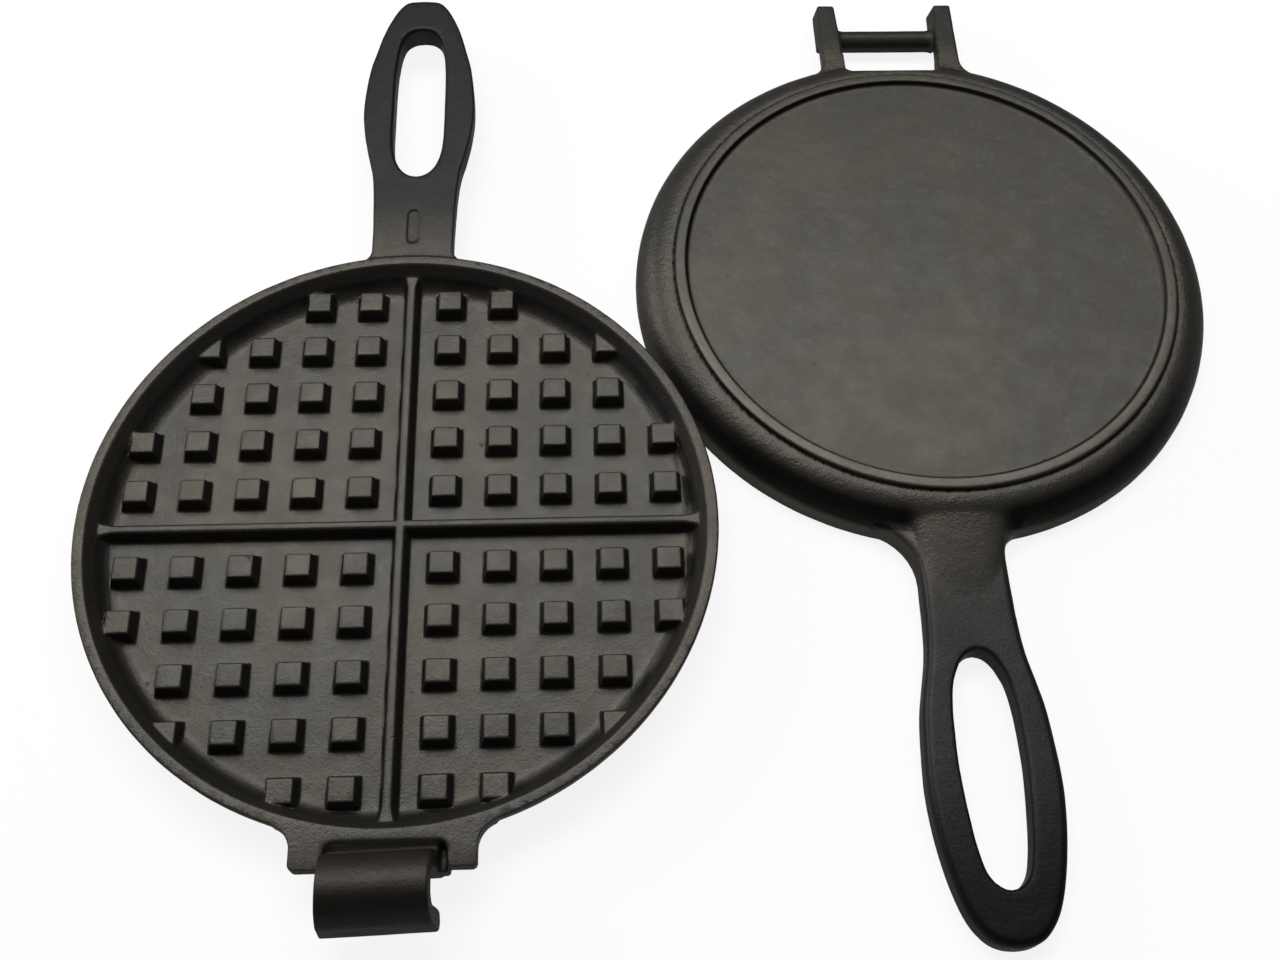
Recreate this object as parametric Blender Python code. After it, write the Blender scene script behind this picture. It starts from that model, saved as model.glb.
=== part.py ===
"""Cast iron waffle iron: two castings that hook together, lying side by side as taken apart.

Each half is modelled in its own half frame: the rim plane is z = 0, the back is towards +Z,
the handle points to -Y and the hinge to +Y. The yoke half lies that way up. The hook half is
turned over about X, so that its studs show and its handle points to +Y.
"""
import math

import bmesh
import bpy
from mathutils import Matrix, Vector

# Round plate, the same on both halves (metres)
PLATE_RADIUS = 0.1000
RIM_WIDTH = 0.0029
RIM_CHAMFER = 0.0006
WALL_UPRIGHT = 0.0014
SHOULDER_WIDTH = 0.0120
BACK_DEPTH = 0.0150
RING_HEIGHT = 0.0015
RING_INSET = 0.0132
RING_WIDTH = 0.0038
RING_DRAFT = 0.0004

# Hollow inside the plate
FLOOR_DEPTH = 0.0095
STUD_DROP = 0.0042
WALL_LEAN = 0.0031
WALL_FOOT_WIDTH = 0.0068
WALL_FOOT_HEIGHT = 0.0014

# Studs and crossing ribs
STUD_PITCH = 0.0177
STUD_TO_RIB = 0.0133
STUD_TOP_WIDTH = 0.0073
STUD_DRAFT = 0.0014
RIB_TOP_WIDTH = 0.0028
RIB_DRAFT = 0.0013
RIB_FLARE_WIDTH = 0.0056
RIB_FLARE_LENGTH = 0.0045

# Handles
HANDLE_DROP = 0.0008
HANDLE_THICKNESS = 0.0090
HANDLE_BACK_ROUND = 0.0026
HANDLE_FACE_ROUND = 0.0008
NECK_HALF_WIDTH = 0.0140
GRIP_HALF_WIDTH = 0.0201
SLOT_HALF_WIDTH = 0.0097
SLOT_ROUND = 0.0012
HOOK_HANDLE_LENGTH = 0.1195
HOOK_NECK_LENGTH = 0.0120
HOOK_GRIP_LENGTH = 0.0680
HOOK_SLOT_START = 0.0350
HOOK_SLOT_TO_TIP = 0.0150
HOOK_NECK_FILLET = 0.0050
YOKE_HANDLE_LENGTH = 0.1265
YOKE_NECK_LENGTH = 0.0150
YOKE_GRIP_LENGTH = 0.0780
YOKE_SLOT_START = 0.0380
YOKE_SLOT_TO_TIP = 0.0175
YOKE_NECK_FILLET = 0.0085

# Hinge: the axis lies outside both plates, on the back side of the yoke half's rim plane
HINGE_OFFSET = 0.0140
HINGE_RISE = 0.0045
BAR_RADIUS = 0.0040
BAR_END_FLARE = 0.0016
BAR_FLARE_LENGTH = 0.0024

# Lug and hook on the hook half
LUG_HALF_WIDTH = 0.0263
LUG_LENGTH = 0.0077
LUG_THICKNESS = 0.0060
LUG_FILLET = 0.0080
LUG_CORNER = 0.0015
RECESS_HALF_WIDTH = 0.0179
RECESS_START = 0.0005
RECESS_DEPTH = 0.0040
RECESS_CORNER = 0.0030
ROOT_HALF_WIDTH = 0.0185
ROOT_LENGTH = 0.0086
ROOT_DEPTH = 0.0112
ROOT_ROUND = 0.0024
HOOK_HALF_WIDTH = 0.0145
HOOK_DRAFT = 0.0015
HOOK_CLEARANCE = 0.0008
HOOK_WALL = 0.0054
HOOK_TIP_DROP = 0.0072
HOOK_TIP_BULGE = 0.0004

# Ears on the yoke half
EAR_INNER_HALF_GAP = 0.0180
EAR_TIP_SPREAD = 0.0014
EAR_THICKNESS = 0.0080
EAR_TIP_THICKNESS = 0.0066
EAR_TOP = 0.0124
EAR_RELIEF = 0.0052
EAR_FOOT = 0.0003
EAR_FOOT_START = 0.0095
EAR_FOOT_RUN = 0.0030
EAR_TOP_LENGTH = 0.0256
EAR_LENGTH = 0.0305
EAR_EDGE = 0.0008
EAR_FOOT_FILLET = 0.0035
EAR_TOP_FILLET = 0.0090
EAR_INNER_FILLET = 0.0024
EAR_FLAT_DEPTH = 0.0013

# How the halves lie beside each other
LAID_GAP = 0.0004
LAID_ANGLE = math.radians(27.8)

# Allowances for cuts and joins inside the solid
OVERRUN = 0.0020
SINK = 0.0004
BACK_SINK = 0.0022
EAR_SINK = 0.0160

# Numbers of facets
PLATE_SEGMENTS = 80
SHOULDER_STEPS = 5
FILLET_STEPS = 3
CURVE_STEPS = 2
HOOK_STEPS = 9
BAR_SEGMENTS = 16
SHARP_ANGLE = math.radians(35.0)

# Half outline of a handle, as (share of the stretch, share of the width gained or kept)
HOOK_SWELL_SHARES = ((0.0, 0.0), (0.30, 0.12), (0.46, 0.28), (0.61, 0.59), (0.79, 0.88))
HOOK_TIP_SHARES = ((0.0, 1.0), (0.31, 0.935), (0.51, 0.825), (0.70, 0.70), (0.855, 0.545),
                   (0.945, 0.41), (0.99, 0.27), (1.0, 0.0))
YOKE_SWELL_SHARES = ((0.0, 0.0), (0.25, 0.07), (0.40, 0.22), (0.56, 0.56), (0.71, 0.82))
YOKE_TIP_SHARES = ((0.0, 1.0), (0.25, 0.97), (0.45, 0.90), (0.62, 0.81), (0.765, 0.70),
                   (0.87, 0.57), (0.95, 0.40), (0.99, 0.20), (1.0, 0.0))
SLOT_SHARES = ((0.0, 0.0), (0.02, 0.40), (0.055, 0.64), (0.11, 0.82), (0.2, 0.96), (0.35, 1.0),
               (0.55, 0.99), (0.7, 0.92), (0.82, 0.79), (0.91, 0.62), (0.97, 0.40), (1.0, 0.0))

# Places worked out from the sizes above
HALF_DEPTH = BACK_DEPTH + RING_HEIGHT
RIM_INNER_RADIUS = PLATE_RADIUS - RIM_WIDTH
STUD_WALL_RADIUS = RIM_INNER_RADIUS - WALL_LEAN
JOIN_RADIUS = RIM_INNER_RADIUS + SINK
HINGE_REACH = PLATE_RADIUS + HINGE_OFFSET
HOOK_INNER_RADIUS = BAR_RADIUS + HOOK_CLEARANCE
HOOK_OUTER_RADIUS = HOOK_INNER_RADIUS + HOOK_WALL


def clear_scene():
    """Remove every object that the file opens with."""
    for thing in list(bpy.data.objects):
        bpy.data.objects.remove(thing, do_unlink=True)


def iron(name):
    """Dark seasoned iron with a satin surface."""
    material = bpy.data.materials.new(name)
    material.use_nodes = True
    shader = material.node_tree.nodes["Principled BSDF"]
    shader.inputs["Base Color"].default_value = (0.040, 0.038, 0.035, 1.0)
    shader.inputs["Metallic"].default_value = 0.55
    shader.inputs["Roughness"].default_value = 0.50
    return material


def loft(name, rings):
    """Closed solid through rings of equal point count, capped at both ends."""
    work = bmesh.new()
    loops = [[work.verts.new(point) for point in ring] for ring in rings]
    count = len(loops[0])
    for lower, upper in zip(loops, loops[1:]):
        for index in range(count):
            following = (index + 1) % count
            work.faces.new((lower[index], lower[following], upper[following], upper[index]))
    work.faces.new(loops[0])
    work.faces.new(loops[-1])
    bmesh.ops.recalc_face_normals(work, faces=work.faces)
    mesh = bpy.data.meshes.new(name)
    work.to_mesh(mesh)
    work.free()
    solid = bpy.data.objects.new(name, mesh)
    bpy.context.scene.collection.objects.link(solid)
    return solid


def prism(name, outline, bottom, top):
    """Upright solid of an outline given as (x, y) points."""
    return loft(name, [[Vector((x, y, z)) for x, y in outline] for z in (bottom, top)])


def revolve(name, profile):
    """Solid turned about Z through (radius, height) points, flat at both ends."""
    rings = []
    for radius, height in profile:
        turns = [math.tau * step / PLATE_SEGMENTS for step in range(PLATE_SEGMENTS)]
        rings.append([Vector((radius * math.cos(a), radius * math.sin(a), height)) for a in turns])
    return loft(name, rings)


def combine(target, tool, operation):
    """Join or cut the target with the tool, which is used up."""
    boolean = target.modifiers.new(operation.lower(), "BOOLEAN")
    boolean.operation = operation
    boolean.solver = "EXACT"
    boolean.object = tool
    evaluated = target.evaluated_get(bpy.context.evaluated_depsgraph_get())
    result = bpy.data.meshes.new_from_object(evaluated)
    target.modifiers.remove(boolean)
    target.data = result
    bpy.data.objects.remove(tool, do_unlink=True)


def round_edges(solid, is_rounded, radius):
    """Round the edges that is_rounded picks."""
    work = bmesh.new()
    work.from_mesh(solid.data)
    picked = [edge for edge in work.edges if is_rounded(edge)]
    bmesh.ops.bevel(work, geom=picked, offset=radius, segments=2, profile=0.5,
                    affect="EDGES", clamp_overlap=True)
    work.to_mesh(solid.data)
    work.free()


def arc(centre, radius, start, end, steps):
    """Points on a circle about centre, from one angle to the other."""
    turns = [start + (end - start) * step / steps for step in range(steps + 1)]
    return [(centre[0] + radius * math.cos(a), centre[1] + radius * math.sin(a)) for a in turns]


def smooth(points, steps):
    """Smooth open curve through the points."""
    padded = [points[0]] + list(points) + [points[-1]]
    curve = []
    for before, start, end, after in zip(padded, padded[1:], padded[2:], padded[3:]):
        for step in range(steps):
            t = step / steps
            curve.append(tuple(
                0.5 * (2 * b + (c - a) * t + (2 * a - 5 * b + 4 * c - d) * t ** 2
                       + (3 * b - a - 3 * c + d) * t ** 3)
                for a, b, c, d in zip(before, start, end, after)))
    curve.append(tuple(points[-1]))
    return curve


def widen(outline, distance):
    """Outline moved outwards by a distance; it runs counter-clockwise."""
    moved = []
    for before, point, after in zip(outline[-1:] + outline[:-1], outline, outline[1:] + outline[:1]):
        along = Vector((after[0] - before[0], after[1] - before[1])).normalized()
        moved.append((point[0] + along.y * distance, point[1] - along.x * distance))
    return moved


def shoulder_radius(height):
    """Radius of the plate's rounded shoulder at a height above the rim plane."""
    turn = math.asin((height - WALL_UPRIGHT) / (BACK_DEPTH - WALL_UPRIGHT))
    return PLATE_RADIUS - SHOULDER_WIDTH + SHOULDER_WIDTH * math.cos(turn)


def root_fillet(side, radius, plate_radius):
    """Points of the fillet from the plate's round edge to an outer side face at x = side."""
    centre_x = side + radius
    centre_y = math.sqrt((plate_radius + radius) ** 2 - centre_x ** 2)
    towards_plate = math.atan2(-centre_y, -centre_x)
    return arc((centre_x, centre_y), radius, towards_plate, -math.pi, FILLET_STEPS)


def joined_outline(side_points):
    """Closed outline on both sides of the Y axis, with its root inside the plate's wall."""
    start = Vector(side_points[0])
    half_angle = math.atan2(start.x, start.y)
    root = [(JOIN_RADIUS * math.sin(half_angle * share), JOIN_RADIUS * math.cos(half_angle * share))
            for share in (1.0, 0.5, 0.0, -0.5, -1.0)]
    mirrored = [(-x, y) for x, y in side_points]
    across = list(reversed(side_points))
    if across[0][0] == 0.0:
        across = across[1:]
    return root + mirrored + across


def turned_about(outline):
    """Outline turned half round about Z, from the hinge end to the handle end."""
    return [(-x, -y) for x, y in outline]


def plate():
    """Plain round plate with its raised ring, before the hollow is cut."""
    ring_outer = PLATE_RADIUS - RING_INSET
    ring_inner = ring_outer - RING_WIDTH
    centre_radius = PLATE_RADIUS - SHOULDER_WIDTH
    shoulder = []
    for step in range(SHOULDER_STEPS + 1):
        turn = math.pi / 2 * step / SHOULDER_STEPS
        shoulder.append((centre_radius + SHOULDER_WIDTH * math.cos(turn),
                         WALL_UPRIGHT + (BACK_DEPTH - WALL_UPRIGHT) * math.sin(turn)))
    profile = [(PLATE_RADIUS - RIM_CHAMFER, 0.0), (PLATE_RADIUS, RIM_CHAMFER)]
    profile += shoulder
    profile += [(ring_outer + RING_DRAFT, BACK_DEPTH), (ring_outer, HALF_DEPTH),
                (ring_inner, HALF_DEPTH), (ring_inner - RING_DRAFT, BACK_DEPTH)]
    return revolve("plate", profile)


def stud_block():
    """Studs on their grid, standing on a sheet below the floor."""
    sheet = FLOOR_DEPTH + SINK
    block = revolve("studs", [(PLATE_RADIUS, sheet), (PLATE_RADIUS, sheet + OVERRUN)])
    work = bmesh.new()
    work.from_mesh(block.data)
    height = FLOOR_DEPTH - STUD_DROP
    foot = sheet + SINK
    top_half = STUD_TOP_WIDTH / 2
    foot_half = top_half + STUD_DRAFT * (foot - STUD_DROP) / height
    reach = int((STUD_WALL_RADIUS - STUD_TO_RIB) / STUD_PITCH) + 1
    places = [STUD_TO_RIB + STUD_PITCH * index for index in range(reach)]
    for x in places:
        for y in places:
            if math.hypot(x, y) >= STUD_WALL_RADIUS:
                continue
            for side_x in (-1, 1):
                for side_y in (-1, 1):
                    add_frustum(work, side_x * x, side_y * y, top_half, foot_half, foot)
    work.to_mesh(block.data)
    work.free()
    return block


def add_frustum(work, x, y, top_half, foot_half, foot):
    """One square stud with drafted sides, its top STUD_DROP below the rim plane."""
    corners = ((-1, -1), (1, -1), (1, 1), (-1, 1))
    lower = [work.verts.new((x + foot_half * i, y + foot_half * j, foot)) for i, j in corners]
    upper = [work.verts.new((x + top_half * i, y + top_half * j, STUD_DROP)) for i, j in corners]
    faces = [work.faces.new(lower), work.faces.new(upper)]
    for index in range(4):
        following = (index + 1) % 4
        faces.append(work.faces.new((lower[index], lower[following], upper[following],
                                     upper[index])))
    bmesh.ops.recalc_face_normals(work, faces=faces)


def cross(half_width, flare_half_width, flare_start, reach):
    """Outline of two crossing ribs that widen where they meet the wall."""
    arm = [(half_width, half_width), (half_width, flare_start), (flare_half_width, reach),
           (-flare_half_width, reach), (-half_width, flare_start)]
    outline = []
    for quarter in range(4):
        turn = Matrix.Rotation(math.pi / 2 * quarter, 2)
        outline += [tuple(turn @ Vector(point)) for point in arm]
    return outline


def ribs():
    """Two crossing ribs with drafted sides."""
    foot = FLOOR_DEPTH + SINK
    draft = RIB_DRAFT * (foot - STUD_DROP) / (FLOOR_DEPTH - STUD_DROP)
    top_half = RIB_TOP_WIDTH / 2
    flare_half = RIB_FLARE_WIDTH / 2
    flare_start = STUD_WALL_RADIUS - RIB_FLARE_LENGTH
    top = cross(top_half, flare_half, flare_start, PLATE_RADIUS)
    base = cross(top_half + draft, flare_half + draft, flare_start, PLATE_RADIUS)
    return loft("ribs", [[Vector((x, y, STUD_DROP)) for x, y in top],
                         [Vector((x, y, foot)) for x, y in base]])


def hollow():
    """The space that is cut from the plate: a dished disc less the studs and ribs."""
    lip = OVERRUN * WALL_LEAN / STUD_DROP
    space = revolve("hollow", [
        (RIM_INNER_RADIUS + lip, -OVERRUN),
        (STUD_WALL_RADIUS, STUD_DROP),
        (RIM_INNER_RADIUS - WALL_FOOT_WIDTH + WALL_FOOT_HEIGHT, FLOOR_DEPTH - WALL_FOOT_HEIGHT),
        (RIM_INNER_RADIUS - WALL_FOOT_WIDTH - WALL_FOOT_HEIGHT, FLOOR_DEPTH)])
    combine(space, stud_block(), "DIFFERENCE")
    combine(space, ribs(), "DIFFERENCE")
    return space


def handle(name, length, neck, grip, fillet, swell_shares, tip_shares):
    """Flat looped handle, before its slot is cut."""
    side = [(NECK_HALF_WIDTH + (GRIP_HALF_WIDTH - NECK_HALF_WIDTH) * width,
             PLATE_RADIUS + neck + (grip - neck) * along) for along, width in swell_shares]
    side += [(GRIP_HALF_WIDTH * width, PLATE_RADIUS + grip + (length - grip) * along)
             for along, width in tip_shares]
    points = root_fillet(NECK_HALF_WIDTH, fillet, PLATE_RADIUS) + smooth(side, CURVE_STEPS)
    outline = turned_about(joined_outline(points))
    bottom = HANDLE_DROP
    top = HANDLE_DROP + HANDLE_THICKNESS
    solid = prism(name, outline, bottom, top)
    limit = JOIN_RADIUS + SINK

    def on_outline(edge, height):
        ends = [vertex.co for vertex in edge.verts]
        level = all(abs(end.z - height) < SINK / 2 for end in ends)
        return level and any(end.xy.length > limit for end in ends)

    round_edges(solid, lambda edge: on_outline(edge, top), HANDLE_BACK_ROUND)
    round_edges(solid, lambda edge: on_outline(edge, bottom), HANDLE_FACE_ROUND)
    return solid


def handle_slot(start, end):
    """Cutter for the long slot in a handle, flared where it leaves both faces."""
    side = [(SLOT_HALF_WIDTH * width, PLATE_RADIUS + start + (end - start) * along)
            for along, width in SLOT_SHARES]
    half = smooth(side, CURVE_STEPS)
    outline = half + [(-x, y) for x, y in reversed(half[1:-1])]
    outline = turned_about(outline)
    bottom = HANDLE_DROP
    top = HANDLE_DROP + HANDLE_THICKNESS
    flare = SLOT_ROUND + OVERRUN
    levels = ((bottom - OVERRUN, flare), (bottom + SLOT_ROUND, 0.0),
              (top - SLOT_ROUND, 0.0), (top + OVERRUN, flare))
    return loft("slot", [[Vector((x, y, z)) for x, y in widen(outline, grow)]
                         for z, grow in levels])


def lug():
    """Flat lug that carries the hook, flush with the rim."""
    end = PLATE_RADIUS + LUG_LENGTH
    corner = (LUG_HALF_WIDTH - LUG_CORNER, end - LUG_CORNER)
    side = root_fillet(LUG_HALF_WIDTH, LUG_FILLET, PLATE_RADIUS)
    side += arc(corner, LUG_CORNER, 0.0, math.pi / 2, FILLET_STEPS)
    return prism("lug", joined_outline(side), 0.0, LUG_THICKNESS)


def recess():
    """Cutter for the recess between the lug's two wings."""
    start = PLATE_RADIUS + RECESS_START
    end = PLATE_RADIUS + LUG_LENGTH + OVERRUN
    corner = (RECESS_HALF_WIDTH - RECESS_CORNER, start + RECESS_CORNER)
    side = arc(corner, RECESS_CORNER, -math.pi / 2, 0.0, FILLET_STEPS)
    side.append((RECESS_HALF_WIDTH, end))
    outline = side + [(-x, y) for x, y in reversed(side)]
    return prism("recess", outline, -OVERRUN, RECESS_DEPTH)


def across(profile, half_width_at):
    """Solid that runs along X, through a profile of (y, z) points."""
    return loft("across", [[Vector((side * half_width_at(z), y, z)) for y, z in profile]
                           for side in (-1, 1)])


def hook_root():
    """Block under the lug that the hook grows from."""
    front = PLATE_RADIUS + ROOT_LENGTH
    top = RECESS_DEPTH
    back = JOIN_RADIUS - BACK_SINK
    profile = [(back, top), (front, top)]
    profile += arc((front - ROOT_ROUND, ROOT_DEPTH - ROOT_ROUND), ROOT_ROUND, 0.0, math.pi / 2,
                   FILLET_STEPS)
    profile.append((back, ROOT_DEPTH))
    return across(profile, lambda z: ROOT_HALF_WIDTH)


def hook():
    """Open hook that drops over the bar: its throat faces the back of the plate."""
    axis = (HINGE_REACH, -HINGE_RISE)
    inner = HOOK_INNER_RADIUS
    outer = HOOK_OUTER_RADIUS
    tip_radius = (outer - inner) / 2 + HOOK_TIP_BULGE
    tip_centre = (HINGE_REACH + (inner + outer) / 2, HOOK_TIP_DROP - tip_radius)
    back = JOIN_RADIUS - BACK_SINK
    profile = [(back, RECESS_DEPTH + SINK), (HINGE_REACH - outer, RECESS_DEPTH + SINK)]
    profile += arc(axis, outer, math.pi, math.tau, HOOK_STEPS)
    profile += arc(tip_centre, tip_radius, 0.0, math.pi, HOOK_STEPS // 2)
    profile += reversed(arc(axis, inner, math.pi, math.tau, HOOK_STEPS))
    profile += arc((HINGE_REACH - inner - ROOT_ROUND, ROOT_DEPTH - SINK - ROOT_ROUND), ROOT_ROUND,
                   0.0, math.pi / 2, FILLET_STEPS)
    profile.append((back, ROOT_DEPTH - SINK))
    crown = -HINGE_RISE - outer
    slope = HOOK_DRAFT / (HOOK_TIP_DROP - crown)
    return across(profile, lambda z: HOOK_HALF_WIDTH + slope * (z - crown))


def ear_section(inner, outer, inner_top, outer_top, foot):
    """Eight-sided section of an ear: (x, y) points of its two sides at the foot and at the top."""
    def corner(side, inwards, height):
        return Vector((side[0] + inwards, side[1], height))

    return [
        corner(inner, 0.0, foot + EAR_EDGE),
        corner(inner, EAR_EDGE, foot),
        corner(outer, -EAR_EDGE, foot),
        corner(outer, 0.0, foot + EAR_EDGE),
        corner(outer_top, 0.0, EAR_TOP - EAR_EDGE),
        corner(outer_top, -EAR_EDGE, EAR_TOP),
        corner(inner_top, EAR_EDGE, EAR_TOP),
        corner(inner_top, 0.0, EAR_TOP - EAR_EDGE)]


def ear():
    """Ear on the +X side: thin over the lug, deep around the bar, with a sloped end."""
    outer_side = EAR_INNER_HALF_GAP + EAR_THICKNESS
    flat = PLATE_RADIUS - EAR_FLAT_DEPTH
    inner_points = arc((EAR_INNER_HALF_GAP - EAR_INNER_FILLET, flat + EAR_INNER_FILLET - SINK),
                       EAR_INNER_FILLET, -math.pi / 2, 0.0, FILLET_STEPS)
    outer_points = root_fillet(outer_side, EAR_FOOT_FILLET, PLATE_RADIUS)
    outer_top = root_fillet(outer_side, EAR_TOP_FILLET, shoulder_radius(EAR_TOP))
    inner_top = [(point[0], level[1]) for point, level in zip(inner_points, outer_top)]
    roots = (inner_points, outer_points, inner_top, outer_top)
    sunk = [(points[0][0], PLATE_RADIUS - EAR_SINK) for points in roots]
    sections = [ear_section(*sunk, EAR_RELIEF)]
    for sides in zip(*roots):
        sections.append(ear_section(*sides, EAR_RELIEF))
    foot_start = PLATE_RADIUS + EAR_FOOT_START
    tip = PLATE_RADIUS + EAR_LENGTH
    straight_start = inner_points[-1][1]
    for step in range(FILLET_STEPS + 1):
        share = step / FILLET_STEPS
        fall = (1.0 - math.cos(math.pi * share)) / 2
        y = foot_start + EAR_FOOT_RUN * share
        foot = EAR_RELIEF + (EAR_FOOT - EAR_RELIEF) * fall
        spread = EAR_TIP_SPREAD * (y - straight_start) / (tip - straight_start)
        thickness = EAR_THICKNESS + (EAR_TIP_THICKNESS - EAR_THICKNESS) * spread / EAR_TIP_SPREAD
        inner = (EAR_INNER_HALF_GAP + spread, y)
        outer = (inner[0] + thickness, y)
        sections.append(ear_section(inner, outer, inner, outer, foot))
    x = EAR_INNER_HALF_GAP + EAR_TIP_SPREAD
    top_end = PLATE_RADIUS + EAR_TOP_LENGTH
    sections.append(ear_section((x, tip), (x + EAR_TIP_THICKNESS, tip), (x, top_end),
                                (x + EAR_TIP_THICKNESS, top_end), EAR_FOOT))
    return loft("ear", sections)


def flat_between_ears():
    """Cutter for the straight edge that the plate has between the ears."""
    half_width = EAR_INNER_HALF_GAP + EAR_THICKNESS / 2
    flat = PLATE_RADIUS - EAR_FLAT_DEPTH
    end = PLATE_RADIUS + OVERRUN
    outline = [(half_width, flat), (half_width, end), (-half_width, end), (-half_width, flat)]
    return prism("flat", outline, -OVERRUN, BACK_DEPTH)


def mirrored_x(solid):
    """Copy of a solid on the other side of the Y axis."""
    twin = solid.copy()
    twin.data = solid.data.copy()
    twin.data.transform(Matrix.Scale(-1.0, 4, Vector((1.0, 0.0, 0.0))))
    twin.data.flip_normals()
    bpy.context.scene.collection.objects.link(twin)
    return twin


def bar():
    """Hinge bar cast between the ears, with its end fillets."""
    face = EAR_INNER_HALF_GAP + EAR_TIP_SPREAD / 2
    end = face + EAR_TIP_THICKNESS / 2
    stations = [(end, BAR_END_FLARE), (face, BAR_END_FLARE),
                (face - BAR_FLARE_LENGTH / 3, BAR_END_FLARE / 3), (face - BAR_FLARE_LENGTH, 0.0)]
    stations += [(-x, flare) for x, flare in reversed(stations)]
    turns = [math.tau * (step + 0.5) / BAR_SEGMENTS for step in range(BAR_SEGMENTS)]
    return loft("bar", [[Vector((x, HINGE_REACH + (BAR_RADIUS + flare) * math.cos(a),
                                 HINGE_RISE + BAR_RADIUS * math.sin(a))) for a in turns]
                        for x, flare in stations])


def finish(half, name):
    """Name, shade and colour a finished half."""
    half.name = name
    half.data.name = name
    half.data.materials.clear()
    half.data.materials.append(iron(name))
    half.data.shade_smooth()
    half.data.set_sharp_from_angle(angle=SHARP_ANGLE)


def hook_half():
    """Half with the hook, in the half frame."""
    half = plate()
    combine(half, handle("handle", HOOK_HANDLE_LENGTH, HOOK_NECK_LENGTH, HOOK_GRIP_LENGTH,
                         HOOK_NECK_FILLET, HOOK_SWELL_SHARES, HOOK_TIP_SHARES), "UNION")
    combine(half, handle_slot(HOOK_SLOT_START, HOOK_HANDLE_LENGTH - HOOK_SLOT_TO_TIP), "DIFFERENCE")
    combine(half, lug(), "UNION")
    combine(half, recess(), "DIFFERENCE")
    combine(half, hook_root(), "UNION")
    combine(half, hook(), "UNION")
    combine(half, hollow(), "DIFFERENCE")
    finish(half, "hook_half")
    return half


def yoke_half():
    """Half with the ears and the hinge bar, in the half frame."""
    half = plate()
    combine(half, handle("handle", YOKE_HANDLE_LENGTH, YOKE_NECK_LENGTH, YOKE_GRIP_LENGTH,
                         YOKE_NECK_FILLET, YOKE_SWELL_SHARES, YOKE_TIP_SHARES), "UNION")
    combine(half, handle_slot(YOKE_SLOT_START, YOKE_HANDLE_LENGTH - YOKE_SLOT_TO_TIP), "DIFFERENCE")
    combine(half, flat_between_ears(), "DIFFERENCE")
    right = ear()
    left = mirrored_x(right)
    combine(half, right, "UNION")
    combine(half, left, "UNION")
    combine(half, bar(), "UNION")
    combine(half, hollow(), "DIFFERENCE")
    finish(half, "yoke_half")
    return half


def empty(name, location):
    """Marker that a half hangs from."""
    marker = bpy.data.objects.new(name, None)
    marker.location = location
    bpy.context.scene.collection.objects.link(marker)
    return marker


def build():
    """Lay both halves side by side, with the origin at the middle of the space they take."""
    clear_scene()
    distance = 2 * PLATE_RADIUS + LAID_GAP
    across_x = distance * math.cos(LAID_ANGLE)
    along_y = distance * math.sin(LAID_ANGLE)
    hook_reach = HINGE_REACH + HOOK_OUTER_RADIUS + HOOK_TIP_BULGE
    back = max(along_y + PLATE_RADIUS + EAR_LENGTH, PLATE_RADIUS + HOOK_HANDLE_LENGTH)
    front = min(along_y - PLATE_RADIUS - YOKE_HANDLE_LENGTH, -hook_reach)
    middle = (back + front) / 2
    hook_centre = empty("hook_centre", (-across_x / 2, -middle, HALF_DEPTH))
    hook_centre.rotation_euler = (math.pi, 0.0, 0.0)
    hook_part = hook_half()
    hook_part.parent = hook_centre
    hinge = empty("hinge_axis", (across_x / 2, along_y - middle + HINGE_REACH, HINGE_RISE))
    yoke_part = yoke_half()
    yoke_part.location = (0.0, -HINGE_REACH, -HINGE_RISE)
    yoke_part.parent = hinge


build()
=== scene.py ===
import math

import bmesh
import bpy
from mathutils import Matrix, Vector


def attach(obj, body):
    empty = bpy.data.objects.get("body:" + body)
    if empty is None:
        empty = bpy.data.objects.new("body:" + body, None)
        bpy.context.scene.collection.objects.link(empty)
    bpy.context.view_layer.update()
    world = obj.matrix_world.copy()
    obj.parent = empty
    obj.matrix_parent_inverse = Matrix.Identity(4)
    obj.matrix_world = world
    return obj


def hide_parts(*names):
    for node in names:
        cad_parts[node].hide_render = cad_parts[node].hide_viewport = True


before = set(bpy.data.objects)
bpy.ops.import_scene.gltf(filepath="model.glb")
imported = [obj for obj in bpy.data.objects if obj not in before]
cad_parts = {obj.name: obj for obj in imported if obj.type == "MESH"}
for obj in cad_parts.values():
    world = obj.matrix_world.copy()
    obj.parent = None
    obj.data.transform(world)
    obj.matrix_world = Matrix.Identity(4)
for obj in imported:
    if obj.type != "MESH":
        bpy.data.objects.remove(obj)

MM = 0.001

# Where the castings lie: the middle of each round plate, on the surface
HOOK_PLATE = Vector((-88.63501, -45.46388, 16.5)) * MM
YOKE_PLATE = Vector((88.63501, 48.0, 0.0)) * MM

# Round plate, in the half frame: rim plane at z = 0, back towards +Z, handle -Y, hinge +Y
PLATE_RADIUS = 100.0 * MM
RIM_INNER = 96.5 * MM
RIM_EDGE = 0.4 * MM
WALL_UPRIGHT = 1.4 * MM
SHOULDER = 12.0 * MM
BACK = 15.0 * MM
SHOULDER_STEPS = 14
RING_OUTER = 86.8 * MM
RING_WIDTH = 3.8 * MM
RING_TOP = 16.5 * MM
RING_DRAFT = 0.4 * MM
RING_EDGE = 0.4 * MM
GROOVE_DEPTH = 0.7 * MM
GROOVE_LIP = 0.7 * MM
GROOVE_EDGE = 0.4 * MM
GROOVE_FOOT = 0.1 * MM
FLOOR = 9.5 * MM
STUD_TOP = 4.2 * MM
WALL_TOP_OF_STUDS = 94.0 * MM
# Rounded foot of the inner wall, as (radius, z) in millimetres
WALL_FOOT = ((87.8, 9.5), (89.5, 9.35), (91.0, 8.8), (92.3, 7.7), (93.3, 6.0))

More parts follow.
